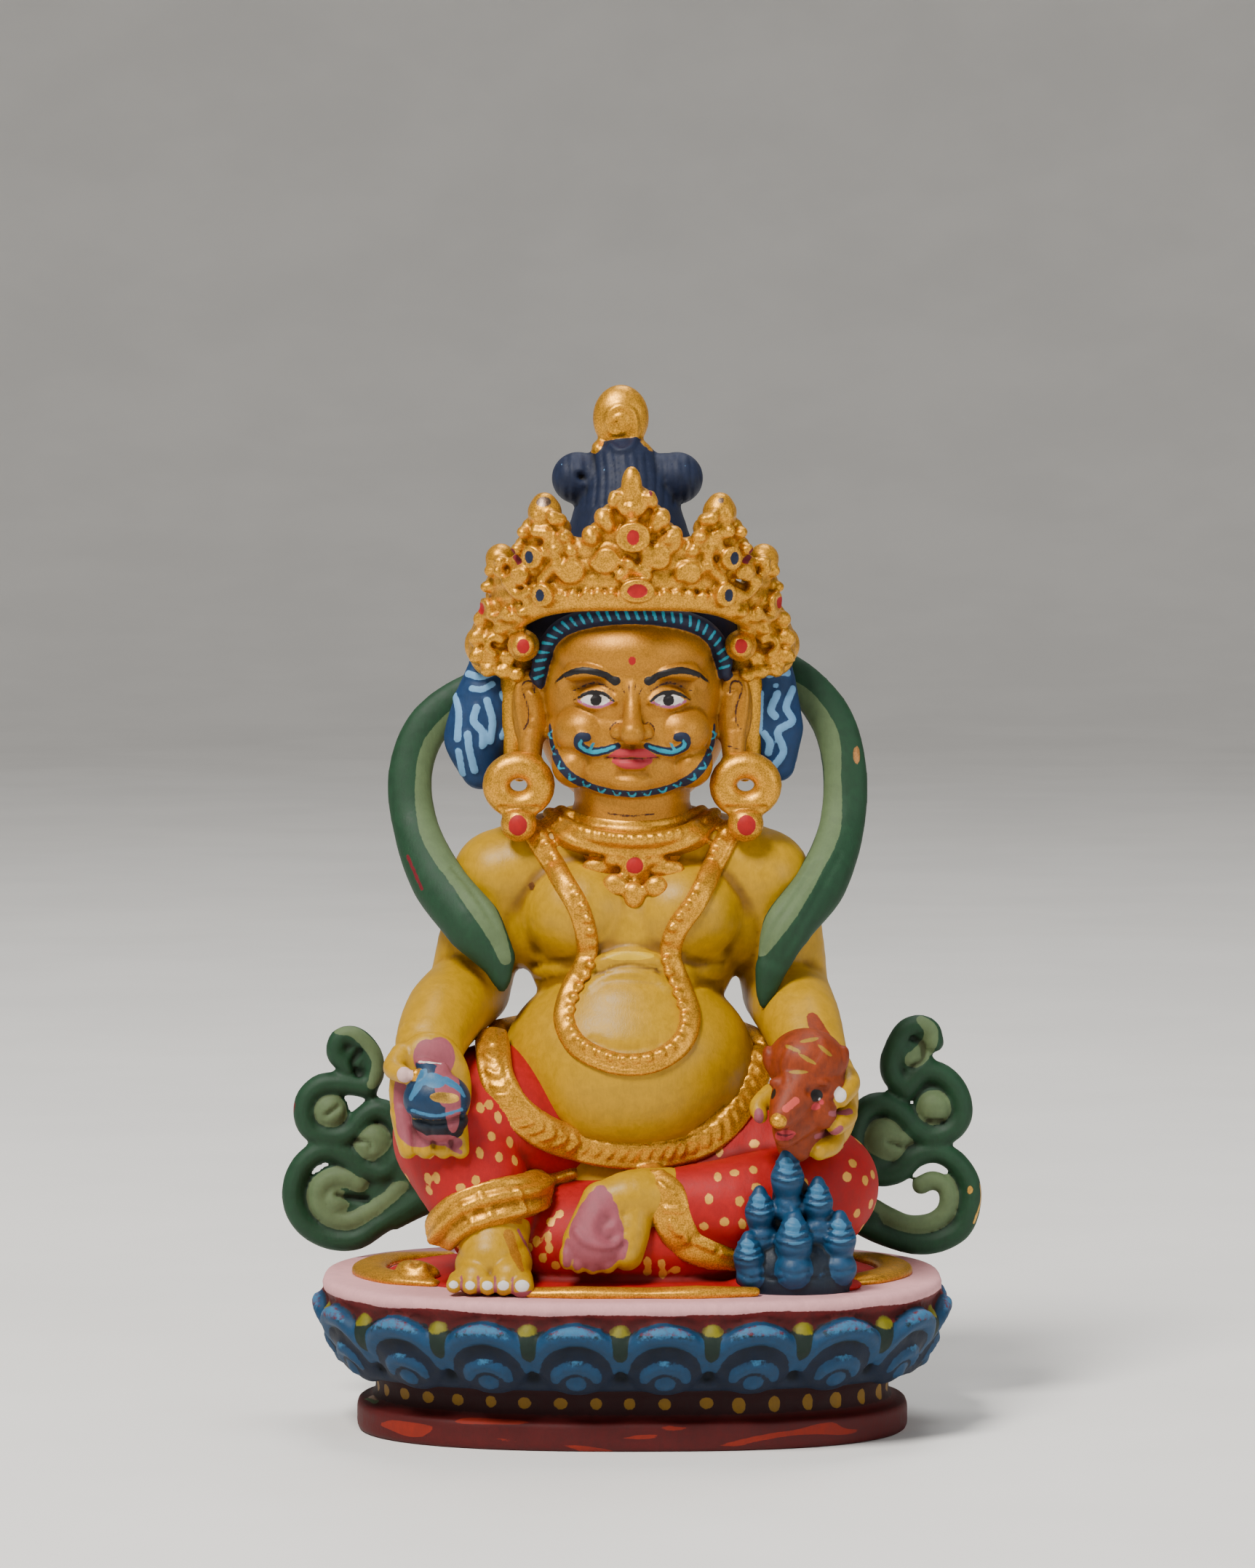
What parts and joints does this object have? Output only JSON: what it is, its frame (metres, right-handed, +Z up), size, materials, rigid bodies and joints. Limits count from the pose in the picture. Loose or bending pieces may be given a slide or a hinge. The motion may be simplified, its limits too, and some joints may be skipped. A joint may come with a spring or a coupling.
{
  "type": "jambhala statue",
  "caption": "Small painted metal statuette of the wealth deity Jambhala, seated on a lotus base with a mongoose and a heap of jewels.",
  "frame": {"origin": "centre of the flat underside of the lotus base", "axes": "+Z up through the finial, +X to the viewer's right across the base, the figure faces -Y"},
  "size_m": [0.0585, 0.0366, 0.085],
  "materials": {
    "statue": "hand painted in matt colours and cold gold"
  },
  "bodies": {
    "root": {"jambhala_statue": "statue"}
  },
  "joints": []
}
